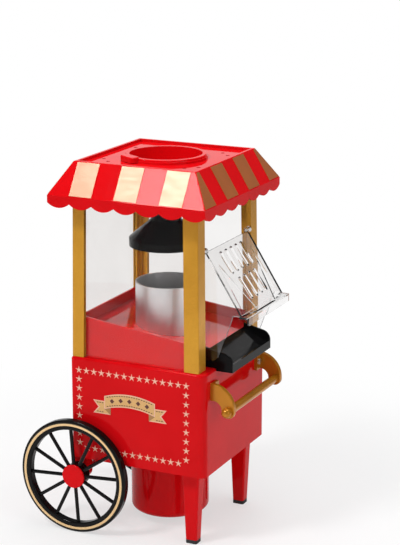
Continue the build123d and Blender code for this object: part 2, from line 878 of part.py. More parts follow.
with BuildPart() as cord_gland:
    with BuildSketch(facing_front(base_rear, gland_across, gland_height)):
        Circle(gland_flange)
    extrude(amount=-gland_head)
    rear_rim = cord_gland.faces().sort_by(Axis.X)[0].edges()
    fillet(rear_rim, gland_head / 3)
    with BuildSketch(facing_front(base_rear, gland_across, gland_height)):
        Circle(gland_neck)
    extrude(amount=gland_length)
    with BuildSketch(facing_front(base_rear - gland_head, gland_across, gland_height)):
        Circle(gland_bore)
    extrude(amount=gland_head + gland_length, mode=Mode.SUBTRACT)
save(cord_gland.part, "cord_gland")


# Cabin: four corner posts with grooves that hold the clear panes
def corner_prism(fore, side, reach):
    """Leaning prism centred on a cabin corner, reaching the same distance from it all the way up."""
    lean = (-fore * cabin_tilt, -side * cabin_tilt, 1)
    with BuildPart() as prism:
        with BuildSketch(level(base_top, fore * cabin_length / 2, side * cabin_width / 2)):
            Rectangle(2 * reach, 2 * reach)
        extrude(amount=2 * (post_top - base_top), dir=lean)
    return prism.part


def post_leg(fore):
    """How far the posts reach along the walls; the rear ones are narrower."""
    return front_post_leg if fore > 0 else rear_post_leg


def pane(fore, side, grow):
    """Pane in one wall, told by its outward direction; a grown pane is the space that it needs."""
    with BuildPart() as sheet:
        add(cabin_block(pane_inset - grow, base_top, post_top))
        add(cabin_block(pane_inset + pane_wall + grow, base_top, post_top), mode=Mode.SUBTRACT)
        wall_length = rear_post_leg if fore else cabin_length
        wall_width = rear_post_leg if side else cabin_width
        with BuildSketch(level(base_top)):
            with Locations((fore * cabin_length / 2, side * cabin_width / 2)):
                Rectangle(wall_length, wall_width)
        extrude(amount=post_top - base_top, mode=Mode.INTERSECT)
        for end in (-1, 1):
            corner_fore = fore or end
            reach = post_leg(corner_fore) - pane_groove - grow
            add(corner_prism(corner_fore, side or end, reach), mode=Mode.SUBTRACT)
    return sheet.part


pane_walls = {"window_left": (0, -1), "window_right": (0, 1), "window_rear": (-1, 0)}
for name, (fore, side) in pane_walls.items():
    save(pane(fore, side, 0), name)


def cabin_corner(fore, side, reach):
    """Solid corner of the cabin's outline, as far as a distance from the corner."""
    with BuildPart() as corner:
        add(cabin_block(0, base_top, post_top))
        add(corner_prism(fore, side, reach), mode=Mode.INTERSECT)
    return corner.part


def corner_post(fore, side):
    """L-shaped post with a square core for its top screw."""
    with BuildPart() as post:
        add(cabin_corner(fore, side, post_leg(fore)))
        add(cabin_block(post_wall, base_top, post_top), mode=Mode.SUBTRACT)
        add(cabin_corner(fore, side, post_core))
        for wall_fore, wall_side in pane_walls.values():
            add(pane(wall_fore, wall_side, slip_gap), mode=Mode.SUBTRACT)
        half_rise = (post_top - base_top) / 2
        drawn = half_rise * cabin_tilt
        ridge = (
            cart_x + fore * (cabin_length / 2 - drawn),
            side * (cabin_width / 2 - drawn),
            base_top + half_rise,
        )
        fillet(post.edges().sort_by_distance(ridge)[0], post_round)
        with BuildSketch(level(post_top)):
            with Locations((fore * crown_screw_ahead, side * crown_screw_across)):
                Circle(screw_shank)
        extrude(amount=-2 * screw_grip, mode=Mode.SUBTRACT)
        if fore > 0:
            with BuildSketch(upright(0, hinge_ahead, flap_hinge_height)):
                Circle(hinge_pin + running_gap)
            extrude(amount=hinge_pin_end + free_gap, both=True, mode=Mode.SUBTRACT)
    return post.part


corners = {
    "front_left": (1, -1),
    "front_right": (1, 1),
    "rear_left": (-1, -1),
    "rear_right": (-1, 1),
}
for name, (fore, side) in corners.items():
    save(corner_post(fore, side), f"post_{name}")

# Crown: the frame that ties the posts together and carries the roof
crown_screw_places = [(fore * crown_screw_ahead, side * crown_screw_across) for fore, side in corners.values()]
roof_boss_ahead = crown_length / 2 - crown_hole_inset
roof_boss_across = crown_wide / 2 - crown_hole_inset
roof_boss_places = [(roof_boss_ahead, 0), (-roof_boss_ahead, 0), (0, roof_boss_across), (0, -roof_boss_across)]
crown_counterbore = screw_head_height + slip_gap
with BuildPart() as cabin_crown:
    with BuildSketch(level(post_top)):
        Rectangle(crown_length, crown_wide)
        Rectangle(crown_length - 2 * crown_width, crown_wide - 2 * crown_width, mode=Mode.SUBTRACT)
        with Locations(*crown_screw_places, *roof_boss_places):
            Circle(screw_shank + slip_gap, mode=Mode.SUBTRACT)
    extrude(amount=crown_height)
    with BuildSketch(level(roof_seat)):
        with Locations(*crown_screw_places):
            Circle(screw_head + slip_gap)
    extrude(amount=-crown_counterbore, mode=Mode.SUBTRACT)
    with BuildSketch(level(roof_seat)):
        with Locations(*roof_boss_places):
            Circle(roof_boss + slip_gap)
    extrude(amount=-roof_boss_height - slip_gap, mode=Mode.SUBTRACT)
save(cabin_crown.part, "cabin_crown")

crown_screw_seats = [
    level(roof_seat - crown_counterbore, ahead, across) for ahead, across in crown_screw_places
]
save(screw_group(crown_screw_seats, crown_height - crown_counterbore + screw_grip), "crown_screws")


# Roof: a hollow hipped canopy with a recessed top, a collar for the cup and a scalloped valance
def roof_size(height):
    """Length and width of the roof's outside at a height."""
    share = (height - eave_height) / roof_height
    length = eave_length + share * (roof_length - eave_length)
    width = eave_width + share * (roof_width - eave_width)
    return length, width


def drawn_in(size, amount):
    """Length and width less an amount on every side."""
    return size[0] - 2 * amount, size[1] - 2 * amount


def valance(plane, length):
    """Scalloped strip below one eave, drawn on the plane of its outer face."""
    lobe = length / scallop_count
    with BuildPart() as strip:
        with BuildSketch(plane):
            with BuildLine():
                Polyline(
                    (-length / 2, -valance_drop), (-length / 2, 0), (length / 2, 0), (length / 2, -valance_drop)
                )
                for step in range(scallop_count):
                    left = -length / 2 + step * lobe
                    ThreePointArc(
                        (left, -valance_drop),
                        (left + lobe / 2, -valance_drop - scallop_sag),
                        (left + lobe, -valance_drop),
                    )
            make_face()
        extrude(amount=-valance_wall)
    return strip.part


def eave_plane(fore, side):
    """Upright plane through one eave, facing outwards."""
    return Plane(
        (cart_x + fore * eave_length / 2, side * eave_width / 2, eave_height),
        x_dir=(-side, fore, 0),
        z_dir=(fore, side, 0),
    )


with BuildPart() as roof_canopy:
    add(tapered_block(eave_height, roof_top, roof_size(eave_height), roof_size(roof_top)))
    fillet(roof_canopy.edges().filter_by(lambda edge: edge.center().Z > eave_height + roof_wall), roof_round)
    cavity_low = drawn_in(roof_size(eave_height), roof_wall)
    cavity_high = drawn_in(roof_size(roof_seat), roof_wall)
    add(tapered_block(eave_height, roof_seat, cavity_low, cavity_high), mode=Mode.SUBTRACT)
    with BuildSketch(level(roof_top)):
        Rectangle(roof_length - 2 * roof_rim, roof_width - 2 * roof_rim)
    extrude(amount=-roof_recess, mode=Mode.SUBTRACT)
    with BuildSketch(level(roof_floor)):
        Circle(collar_radius)
    extrude(amount=collar_height)
    collar_edge = roof_canopy.edges().sort_by_distance((cart_x, collar_radius, collar_top))[0]
    fillet(collar_edge, collar_height / 4)
    with BuildSketch(level(collar_top)):
        Circle(cup_hole)
    extrude(amount=roof_seat - collar_top, mode=Mode.SUBTRACT)
    for way in (-1, 1):
        add(valance(eave_plane(way, 0), eave_width))
        add(valance(eave_plane(0, way), eave_length))
    vent_ahead = roof_length / 2 - vent_inset_ahead
    vent_across = roof_width / 2 - vent_inset_across
    with BuildSketch(level(roof_floor)):
        for fore, side in corners.values():
            with Locations(
                (fore * vent_ahead, side * (vent_across - vent_spread)),
                (fore * (vent_ahead - vent_spread), side * vent_across),
            ):
                Circle(vent_radius)
    extrude(amount=-roof_panel, mode=Mode.SUBTRACT)
    with BuildSketch(level(roof_seat)):
        with Locations(*roof_boss_places):
            Circle(roof_boss)
    extrude(amount=-roof_boss_height)
    with BuildSketch(level(roof_seat - roof_boss_height)):
        with Locations(*roof_boss_places):
            Circle(screw_shank)
    extrude(amount=roof_boss_height + slip_gap, mode=Mode.SUBTRACT)
    with BuildSketch(level(roof_seat)):
        with PolarLocations(funnel_screw_circle, 3):
            Circle(screw_shank)
    extrude(amount=roof_panel - free_gap, mode=Mode.SUBTRACT)
save(roof_canopy.part, "roof_canopy")

roof_screw_seats = [under(post_top, ahead, across) for ahead, across in roof_boss_places]
save(screw_group(roof_screw_seats, crown_height - slip_gap), "roof_screws")


# Foil stripes of even width run down the slopes, one for every other lobe of the valance
def slope_plane(fore, side):
    """Plane of one roof slope, with its origin in the middle of the eave and its own y up the slope."""
    inward = (eave_length - roof_length) / 2 if fore else (eave_width - roof_width) / 2
    return Plane(
        (cart_x + fore * eave_length / 2, side * eave_width / 2, eave_height),
        x_dir=(-side, fore, 0),
        z_dir=(fore * roof_height, side * roof_height, inward),
    )


def slope_stripes(fore, side, eave, ridge, first):
    """Stripes of one slope: every second lobe, from the first one named, cut off at the hips."""
    inward = (eave_length - roof_length) / 2 if fore else (eave_width - roof_width) / 2
    slant = (inward**2 + roof_height**2) ** 0.5
    lobe = eave / scallop_count
    with BuildPart() as stripes:
        with BuildSketch(slope_plane(fore, side)):
            for step in range(first, scallop_count, 2):
                with Locations((-eave / 2 + (step + 0.5) * lobe, slant / 2)):
                    Rectangle(lobe, slant - 2 * stripe_margin)
            Polygon(
                (-eave / 2 + stripe_margin, 0),
                (eave / 2 - stripe_margin, 0),
                (ridge / 2 - stripe_margin, slant),
                (-ridge / 2 + stripe_margin, slant),
                align=None,
                mode=Mode.INTERSECT,
            )
        extrude(amount=stripe_foil)
    return stripes.part


with BuildPart() as roof_stripes:
    for way in (-1, 1):
        add(slope_stripes(0, way, eave_length, roof_length, 1))
        add(slope_stripes(way, 0, eave_width, roof_width, 0))
save(roof_stripes.part, "roof_stripes")

# Measuring cup: drops into the collar, rests on its flange and lifts out by a hooked tab
tab_inner = cup_flange - cup_tab_overlap
tab_outer = collar_radius + cup_tab_reach
with BuildPart() as measuring_cup:
    with BuildSketch(level(collar_top)):
        Circle(cup_flange)
    extrude(amount=cup_flange_height)
    fillet(measuring_cup.faces().sort_by(Axis.Z)[-1].edges(), cup_flange_round)
    with BuildSketch(level(collar_top)) as tab:
        with PolarLocations((tab_inner + tab_outer) / 2, 1, start_angle=cup_tab_angle):
            RectangleRounded(tab_outer - tab_inner, cup_tab_width, cup_tab_corner)
    extrude(amount=cup_flange_height + cup_tab_rise)
    fillet(measuring_cup.faces().sort_by(Axis.Z)[-1].edges(), cup_tab_round)
    with BuildSketch(level(collar_top)):
        add(tab.sketch_local)
        Circle(collar_radius + free_gap, mode=Mode.SUBTRACT)
    extrude(amount=free_gap - collar_height)
    with BuildSketch(level(collar_top)):
        Circle(cup_radius)
    extrude(amount=-cup_depth)
    with BuildSketch(level(collar_top + cup_flange_height)):
        Circle(cup_radius - cup_wall)
    extrude(amount=-cup_depth - cup_flange_height + cup_wall, mode=Mode.SUBTRACT)
save(measuring_cup.part, "measuring_cup")

# Funnel below the collar leads kernels to a narrow throat
with BuildPart() as kernel_funnel:
    with BuildSketch(upright(0)):
        with BuildLine():
            Polyline(
                (funnel_flange, funnel_top),
                (funnel_flange, funnel_top - funnel_flange_height),
                (funnel_radius, funnel_top - funnel_flange_height),
                (funnel_radius, funnel_shoulder),
                (funnel_throat + funnel_wall, funnel_neck_top),
                (funnel_throat + funnel_wall, hood_neck_bottom),
                (funnel_throat, hood_neck_bottom),
                (funnel_throat, funnel_neck_top + funnel_wall),
                (funnel_radius - funnel_wall, funnel_shoulder + funnel_wall),
                (funnel_radius - funnel_wall, funnel_top),
                (funnel_flange, funnel_top),
            )
        make_face()
    revolve(axis=Axis((cart_x, 0, 0), (0, 0, 1)))
    with BuildSketch(level(funnel_top)):
        with PolarLocations(funnel_screw_circle, 3):
            Circle(screw_shank + slip_gap)
    extrude(amount=-funnel_flange_height, mode=Mode.SUBTRACT)
save(kernel_funnel.part, "kernel_funnel")

funnel_screw_seats = [
    under(funnel_top - funnel_flange_height, ahead, across)
    for ahead, across in ring_places(funnel_screw_circle, 3)
]
save(screw_group(funnel_screw_seats, funnel_flange_height + roof_panel - 2 * free_gap), "funnel_screws")

# Hood that turns the rising popcorn outwards, pushed onto the funnel's neck
with BuildPart() as popcorn_hood:
    with BuildSketch(upright(0)):
        with BuildLine():
            Polyline(
                (hood_radius, hood_bottom),
                (hood_radius, hood_shoulder),
                (hood_neck + hood_wall, hood_neck_bottom),
                (hood_neck + hood_wall, funnel_neck_top),
                (hood_neck, funnel_neck_top),
                (hood_neck, hood_neck_bottom - hood_wall),
                (hood_radius - hood_wall, hood_shoulder - hood_wall),
                (hood_radius - hood_wall, hood_bottom),
                (hood_radius, hood_bottom),
            )
        make_face()
    revolve(axis=Axis((cart_x, 0, 0), (0, 0, 1)))
save(popcorn_hood.part, "popcorn_hood")

# Ramp: a sloping trough between the posts, with raised skirts behind the side windows and a hole for the tube
ramp_end = cabin_length / 2 - ramp_inset
ramp_slope = (ramp_rear - ramp_front) / (2 * ramp_end)
ramp_high = ramp_rear + ramp_skirt
ramp_half = cabin_width / 2 - ramp_inset - (ramp_high - base_top) * cabin_tilt - ramp_wall
ramp_past = 2 * ramp_end
with BuildPart() as cabin_ramp:
    add(cabin_block(ramp_inset, base_top, ramp_high))
    for fore, side in corners.values():
        add(corner_prism(fore, side, post_core + free_gap), mode=Mode.SUBTRACT)
    with BuildSketch(upright(0)):
        rear_high = ramp_high + ramp_slope * (ramp_past - ramp_end)
        front_high = ramp_high - ramp_slope * (ramp_past + ramp_end)
        Polygon((-ramp_past, rear_high), (ramp_past, front_high), (ramp_past, 2 * ramp_high), align=None)
    extrude(amount=cabin_width, both=True, mode=Mode.SUBTRACT)
    with BuildSketch(upright(0)):
        rear_floor = ramp_rear - ramp_slope * ramp_wall
        front_floor = ramp_rear - ramp_slope * (ramp_past + ramp_end)
        Polygon(
            (ramp_wall - ramp_end, rear_floor),
            (ramp_past, front_floor),
            (ramp_past, 2 * ramp_high),
            (ramp_wall - ramp_end, 2 * ramp_high),
            align=None,
        )
    extrude(amount=ramp_half, both=True, mode=Mode.SUBTRACT)
    with BuildSketch(upright(0)):
        Polygon(
            (ramp_wall - ramp_end, base_top),
            (ramp_end - 2 * ramp_wall, base_top),
            (ramp_end - 2 * ramp_wall, ramp_front - ramp_wall),
            (ramp_wall - ramp_end, ramp_rear - ramp_wall),
            align=None,
        )
    extrude(amount=ramp_half, both=True, mode=Mode.SUBTRACT)
    with BuildSketch(level(base_top, popper_ahead)):
        Circle(tube_radius + free_gap)
    extrude(amount=ramp_high - base_top, mode=Mode.SUBTRACT)
save(cabin_ramp.part, "cabin_ramp")

# Chute: a black scoop on the deck's front edge that carries the popcorn out under the flap
chute_rear = ramp_end + free_gap
chute_step = base_front + free_gap
with BuildPart() as serving_chute:
    with BuildSketch(upright(0)):
        with BuildLine():
            Polyline(
                (chute_shoulder_ahead, chute_shoulder),
                (chute_rear, chute_back),
                (chute_rear, base_top),
                (chute_step, base_top),
                (chute_step, chute_bottom),
                (chute_reach, chute_bottom),
                (chute_reach, chute_lip),
            )
            TangentArc((chute_reach, chute_lip), (chute_shoulder_ahead, chute_shoulder), tangent=(0, 1))
        make_face()
    extrude(amount=chute_half_width, both=True)
    for outer in (serving_chute.faces().sort_by(Axis.Y)[0], serving_chute.faces().sort_by(Axis.Y)[-1]):
        front_edges = outer.edges().filter_by(lambda edge: edge.center().X > cart_x + chute_step + chute_round)
        fillet(front_edges, chute_round)
    with BuildSketch(upright(0)):
        Polygon(
            (chute_rear, chute_high),
            (chute_reach - chute_wall, chute_lip - chute_lip_rise),
            (chute_reach - chute_wall, chute_lip),
            (chute_reach, chute_lip),
            (chute_reach, chute_back),
            (chute_rear, chute_back),
            align=None,
        )
    extrude(amount=chute_half_width - chute_wall, both=True, mode=Mode.SUBTRACT)
    with BuildSketch(upright(0)):
        Polygon(
            (chute_rear + chute_wall, chute_bottom),
            (chute_reach - chute_wall, chute_bottom),
            (chute_reach - chute_wall, chute_lip - chute_lip_rise - chute_wall),
            (chute_rear + chute_wall, chute_high - 2 * chute_wall),
            align=None,
        )
    extrude(amount=chute_half_width - chute_wall, both=True, mode=Mode.SUBTRACT)
save(serving_chute.part, "serving_chute")

# Serving flap: slanted plate with a slotted panel that stands out towards the lip, and two side cheeks
flap_lean = radians(flap_slope)
flap_hinge = (cart_x + hinge_ahead, 0, flap_hinge_height)
flap_plane = Plane(flap_hinge, x_dir=(0, 1, 0), z_dir=(cos(flap_lean), 0, sin(flap_lean)))
panel_top = flap_plane.from_local_coords(Vector(0, -flap_panel_start, 0))
panel_foot = Vector(cart_x + flap_end_ahead + flap_panel_foot, 0, flap_end_height)
panel_fall = panel_foot - panel_top
panel_plane = Plane(panel_top, x_dir=(0, 1, 0), z_dir=(-panel_fall.Z, 0, panel_fall.X))
panel_behind = flap_wall * panel_fall.length / -panel_fall.Z


def flap_wedge(behind):
    """Wedge between plate and panel face, set back by a distance; its sides run to the cheeks."""
    heel = cart_x + flap_end_ahead - behind
    foot = panel_foot.X - behind
    top_left, top_right = [
        (panel_top.X - behind, side * flap_panel_half_top, panel_top.Z) for side in (-1, 1)
    ]
    heel_left, heel_right = [(heel, side * cheek_inner, flap_end_height) for side in (-1, 1)]
    foot_left, foot_right = [(foot, side * flap_panel_half_low, flap_end_height) for side in (-1, 1)]
    outlines = [
        (top_left, top_right, foot_right, foot_left),
        (top_left, heel_left, heel_right, top_right),
        (heel_left, foot_left, foot_right, heel_right),
        (top_left, foot_left, heel_left),
        (top_right, heel_right, foot_right),
    ]
    return Solid(Shell([Face(Wire.make_polygon(outline)) for outline in outlines]))


cheek_rear = ramp_end + 2 * free_gap
with BuildPart() as serving_flap:
    with BuildSketch(flap_plane.offset(-flap_wall / 2)):
        with Locations((0, -flap_length / 2)):
            Rectangle(2 * cheek_outer, flap_length)
    extrude(amount=flap_wall)
    add(flap_wedge(0))
    with BuildSketch(level(flap_end_height)):
        with Locations((flap_end_ahead, 0)):
            Rectangle(2 * flap_lip, 2 * cheek_outer)
    extrude(amount=-flap_length, mode=Mode.SUBTRACT)
    with BuildSketch(level(flap_end_height)):
        with Locations(((flap_end_ahead - flap_wall + flap_front) / 2, 0)):
            Rectangle(flap_lip + flap_wall, 2 * cheek_outer)
    extrude(amount=-flap_wall)
    with BuildSketch(level(flap_end_height)):
        with Locations((flap_front - flap_wall / 2, 0)):
            Rectangle(flap_wall, 2 * cheek_outer)
    extrude(amount=-flap_lip_drop)
    add(flap_wedge(panel_behind), mode=Mode.SUBTRACT)
    with BuildSketch(panel_plane):
        upper_row = vent_slot_start + vent_slot_length / 2
        lower_row = upper_row + vent_slot_length + vent_slot_row_gap
        for row, count in ((upper_row, vent_slots_upper), (lower_row, vent_slots_lower)):
            with Locations((0, -row)):
                with GridLocations(vent_slot_pitch, 0, count, 1):
                    SlotOverall(vent_slot_length, vent_slot_width, rotation=90)
    extrude(amount=2 * flap_wall, both=True, mode=Mode.SUBTRACT)
    for side in (-1, 1):
        with BuildSketch(upright(side * cheek_inner)) as cheek:
            low_corner = (cheek_rear + flap_cheek_reach, flap_cheek_bottom)
            Polygon(
                (cheek_rear, flap_cheek_bottom),
                low_corner,
                (flap_end_ahead - flap_lip, flap_end_height),
                (flap_end_ahead, flap_end_height),
                (cheek_rear, flap_hinge_height),
                align=None,
            )
            fillet(cheek.vertices().sort_by_distance(low_corner)[0], flap_cheek_round)
        extrude(amount=-side * flap_wall)
        with BuildSketch(upright(side * cheek_inner, hinge_ahead, flap_hinge_height)):
            Circle(flap_ear)
        extrude(amount=-side * (hinge_post_face - free_gap - cheek_inner))
    with BuildSketch(upright(0, hinge_ahead, flap_hinge_height)):
        Circle(hinge_pin + running_gap / 2)
    extrude(amount=2 * cheek_outer, both=True, mode=Mode.SUBTRACT)
save(serving_flap.part, "serving_flap")

# Pins held in the front posts, on which the flap's ears turn
with BuildPart() as flap_hinge_pins:
    for side in (-1, 1):
        with BuildSketch(upright(side * cheek_inner, hinge_ahead, flap_hinge_height)):
            Circle(hinge_pin)
        extrude(amount=-side * (hinge_pin_end - cheek_inner))
save(flap_hinge_pins.part, "flap_hinge_pins")


# Push handle: two curved arms on the front wall with a bar between them
def handle_arm(side):
    """Curved bracket with an eye for the bar and an inward foot for its screw."""
    handle_low = handle_top - handle_root_height
    with BuildPart() as arm:
        with BuildSketch(upright(side * handle_arm_inner)):
            with BuildLine():
                eye_front = (rod_ahead + handle_eye, handle_rod_height)
                eye_rear = (rod_ahead - handle_eye, handle_rod_height)
                front_knee = (rod_ahead + handle_eye, handle_top)
                rear_knee = (rod_ahead - handle_eye, handle_low)
                FilletPolyline((base_front, handle_top), front_knee, eye_front, radius=handle_turn)
                ThreePointArc(eye_front, (rod_ahead, handle_rod_height - handle_eye), eye_rear)
                FilletPolyline(eye_rear, rear_knee, (base_front, handle_low), radius=handle_inner_turn)
                Line((base_front, handle_low), (base_front, handle_top))
            make_face()
        extrude(amount=-side * handle_arm_wall)
        for flank in (arm.faces().sort_by(Axis.Y)[0], arm.faces().sort_by(Axis.Y)[-1]):
            fillet(flank.edges().sort_by(Axis.X)[1:], handle_arm_round)
        with BuildSketch(facing_front(base_front)):
            with Locations((side * handle_screw_across, handle_screw_height)):
                Rectangle(handle_foot_width, handle_root_height)
        extrude(amount=handle_foot_wall)
        with BuildSketch(facing_front(base_front)):
            with Locations((side * handle_screw_across, handle_screw_height)):
                Circle(screw_shank + slip_gap)
        extrude(amount=handle_foot_wall, mode=Mode.SUBTRACT)
        with BuildSketch(upright(0, rod_ahead, handle_rod_height)):
            Circle(handle_spigot + slip_gap)
        extrude(amount=2 * handle_arm_outer, both=True, mode=Mode.SUBTRACT)
    return arm.part


save(handle_arm(-1), "handle_arm_left")
save(handle_arm(1), "handle_arm_right")

spigot_end = handle_arm_outer + handle_ball
with BuildPart() as handle_bar:
    with BuildSketch(upright(0, rod_ahead, handle_rod_height)):
        Circle(handle_rod)
    extrude(amount=handle_arm_inner - running_gap, both=True)
    with BuildSketch(upright(0, rod_ahead, handle_rod_height)):
        Circle(handle_spigot)
    extrude(amount=spigot_end, both=True)
save(handle_bar.part, "handle_bar")

# Round knobs close the bar's ends, each with a flat that bears on its arm
with BuildPart() as handle_knobs:
    for side in (-1, 1):
        with Locations((cart_x + rod_ahead, side * (handle_arm_outer + handle_ball / 2), handle_rod_height)):
            Sphere(handle_ball)
    with BuildSketch(upright(0, rod_ahead, handle_rod_height)):
        Circle(2 * handle_ball)
    extrude(amount=handle_arm_outer + running_gap, both=True, mode=Mode.SUBTRACT)
    with BuildSketch(upright(0, rod_ahead, handle_rod_height)):
        Circle(handle_spigot + running_gap / 2)
    extrude(amount=spigot_end + running_gap, both=True, mode=Mode.SUBTRACT)
save(handle_knobs.part, "handle_knobs")

handle_screw_seats = [
    facing_front(base_front + handle_foot_wall, side * handle_screw_across, handle_screw_height)
    for side in (-1, 1)
]
save(screw_group(handle_screw_seats, handle_foot_wall + base_wall), "handle_screws")
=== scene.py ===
import json
import math

import bmesh
import bpy
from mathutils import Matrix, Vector


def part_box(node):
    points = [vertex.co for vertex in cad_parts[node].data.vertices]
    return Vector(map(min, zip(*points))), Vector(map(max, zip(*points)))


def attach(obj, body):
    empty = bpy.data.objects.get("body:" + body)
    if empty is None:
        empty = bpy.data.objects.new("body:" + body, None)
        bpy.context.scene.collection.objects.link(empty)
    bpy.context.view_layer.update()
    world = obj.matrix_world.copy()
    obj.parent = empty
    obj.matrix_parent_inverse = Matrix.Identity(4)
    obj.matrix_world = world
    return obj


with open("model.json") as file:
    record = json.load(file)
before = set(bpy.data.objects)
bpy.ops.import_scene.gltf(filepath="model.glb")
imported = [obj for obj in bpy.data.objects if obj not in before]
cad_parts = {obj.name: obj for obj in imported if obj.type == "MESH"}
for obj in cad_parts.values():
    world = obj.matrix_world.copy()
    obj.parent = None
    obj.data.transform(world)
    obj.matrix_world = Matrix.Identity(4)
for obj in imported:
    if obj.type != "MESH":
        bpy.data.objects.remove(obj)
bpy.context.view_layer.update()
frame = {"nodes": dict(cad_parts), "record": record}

# A red cart-shaped popcorn maker on a white floor.
# Lengths are in metres, apart from names that end in _MM. Colours are linear.
MM = 0.001
WHITE = (1.0, 1.0, 1.0, 1.0)

# Camera
CAMERA_PLACE = (0.7579, -1.4967, 0.7077)
CAMERA_AZIMUTH_DEG = 25.52
CAMERA_ELEVATION_DEG = 14.78
CAMERA_LENS_MM = 110.66
CAMERA_SENSOR_MM = 36.0
CAMERA_REACH = 50.0

# Star border printed on the sides of the box
STAR_COLUMNS = 15
STAR_ROWS = 9
STAR_POINTS = 5
STAR_RADIUS = 4.2 * MM
STAR_WAIST = 0.29
STAR_INSET_REAR = 9.7 * MM
STAR_INSET_FRONT = 20.2 * MM
STAR_INSET_LOW = 17.4 * MM
STAR_INSET_HIGH = 13.5 * MM
STAR_ROW_DROP = 4.8 * MM

# Ribbon printed on the sides of the box, and the thickness of every printed layer
FILM = 0.06 * MM
RIBBON_HALF = 29.0 * MM
RIBBON_HEIGHT = 14.0 * MM
RIBBON_ARCH = 5.0 * MM
RIBBON_TAIL = 20.0 * MM
RIBBON_TAIL_OVERLAP = 7.0 * MM
RIBBON_TAIL_DROP = 5.5 * MM
RIBBON_NOTCH = 6.0 * MM
RIBBON_STEPS = 24
RIBBON_MIDDLE_SHIFT = -8.0 * MM
RIBBON_MIDDLE_HEIGHT = 65.0 * MM
RIBBON_BORDER = 0.9 * MM
DASH_LENGTH = 1.7 * MM
DASH_WIDTH = 0.9 * MM
DASH_PITCH = 2.8 * MM
DASH_INSET = 2.1 * MM
DIAMOND_HALF = 2.6 * MM
DIAMOND_PITCH = 10.0 * MM
DIAMOND_COUNT = 5

# Black margin painted on the outer edge of the wheels' rings
RING_MARGIN = 1.1 * MM
RING_SOFT_EDGE = 0.2 * MM
RING_PAINT = (0.004, 0.004, 0.004, 1.0)
ACROSS_THE_AXLE = (1.0, 0.0, 1.0)

# Floor: it glows towards plain white with the distance from the cart, and less so in mirrors
FLOOR_HALF = 6.0
FLOOR_DARK = (0.86, 0.86, 0.865)
FLOOR_LIGHT = (0.89, 0.89, 0.895)
FLOOR_NOISE_SCALE = 6.0
FLOOR_ROUGHNESS = 0.6
FLOOR_SHINE = 0.2
FLOOR_CLEAR_START = 0.20
FLOOR_CLEAR_END = 0.55
FLOOR_GLOW_NEAR = 0.58
FLOOR_MIRROR_START = 0.5
FLOOR_MIRROR_END = 1.1

# Backdrop: white to the eye, and dimmer in mirrors above the horizon and towards the front
HORIZON_WHITE_DEG = 9.0
HORIZON_DIM_DEG = 16.0
FLAG_START = 0.0
FLAG_END = 0.3
CEILING = 0.12
AMBIENT = 0.42

# Soft lamps, in watts
LAMP_TARGET = (0.0, 0.0, 0.25)
LAMPS = {
    "key": {"place": (-0.495, -0.904, 1.39), "width": 0.30, "height": 0.36, "power": 12.0},
    "top": {"place": (0.1, 0.15, 1.5), "width": 0.9, "height": 0.9, "power": 10.0},
    "front": {"place": (1.3, -0.5, 0.7), "width": 0.7, "height": 0.7, "power": 3.0},
}

# A surface's colour and roughness follow a noise between these two of its values
NOISE_LOW = 0.3
NOISE_HIGH = 0.7

# What clear plastic lets through of a lamp's light
SHADOW_FILM = (0.95, 0.95, 0.955, 1.0)

# Glossy red plastic: a faint ripple from the mould and fine rub marks
RED_SURFACE = {
    "colour_noise": {"scale": 18.0},
    "smooth": 0.035, "rough": 0.065, "rough_noise": {"scale": 260.0, "detail": 6.0},
    "relief": 0.01, "depth": 0.4 * MM, "relief_noise": {"scale": 140.0, "detail": 2.0},
}
# Satin gold lacquer with a fine metal flake
LACQUER_SURFACE = {
    "colour_noise": {"scale": 35.0, "detail": 4.0},
    "rough_noise": {"scale": 2600.0, "flakes": True},
    "relief": 0.05, "depth": 0.2 * MM, "relief_noise": {"scale": 420.0, "detail": 4.0},
    "Metallic": 0.4, "Specular_IOR_Level": 0.3,
}
# Stamped satin foil with a faint long grain
FOIL_SURFACE = {
    "colour_noise": {"scale": 30.0, "detail": 4.0},
    "smooth": 0.32, "rough": 0.40, "rough_noise": {"scale": 60.0, "stretch": (1.0, 1.0, 4.0)},
    "relief": 0.02, "depth": 0.2 * MM, "relief_noise": {"scale": 120.0, "detail": 2.0},
    "IOR": 1.62, "Specular_Tint": (1.0, 0.97, 0.82, 1.0),
}
# Clear plastic with a little haze and a soft ripple
CLEAR_SURFACE = {
    "colour_noise": {"scale": 25.0},
    "smooth": 0.01, "rough": 0.05, "rough_noise": {"scale": 90.0, "detail": 4.0},
    "relief": 0.02, "depth": 0.4 * MM, "relief_noise": {"scale": 60.0, "detail": 1.0},
    "Transmission_Weight": 1.0,
}
# Glossy black plastic
BLACK_SURFACE = {
    "colour_noise": {"scale": 40.0},
    "smooth": 0.08, "rough": 0.17, "rough_noise": {"scale": 200.0, "detail": 5.0},
    "relief": 0.03, "depth": 0.4 * MM, "relief_noise": {"scale": 150.0, "detail": 2.0},
    "Specular_IOR_Level": 0.07,
}
# Black plastic with a soft shine, as on the wheels and the small fittings
WHEEL_SURFACE = {
    "colour_noise": {"scale": 60.0},
    "smooth": 0.10, "rough": 0.20, "rough_noise": {"scale": 320.0, "detail": 5.0},
    "relief": 0.03, "depth": 0.2 * MM, "relief_noise": {"scale": 500.0},
    "Specular_IOR_Level": 0.14,
}
# Matte rubber with a fine grain
RUBBER_SURFACE = {
    "colour_noise": {"scale": 120.0},
    "smooth": 0.62, "rough": 0.85, "rough_noise": {"scale": 500.0, "detail": 5.0},
    "relief": 0.25, "depth": 0.2 * MM, "relief_noise": {"scale": 1500.0},
}
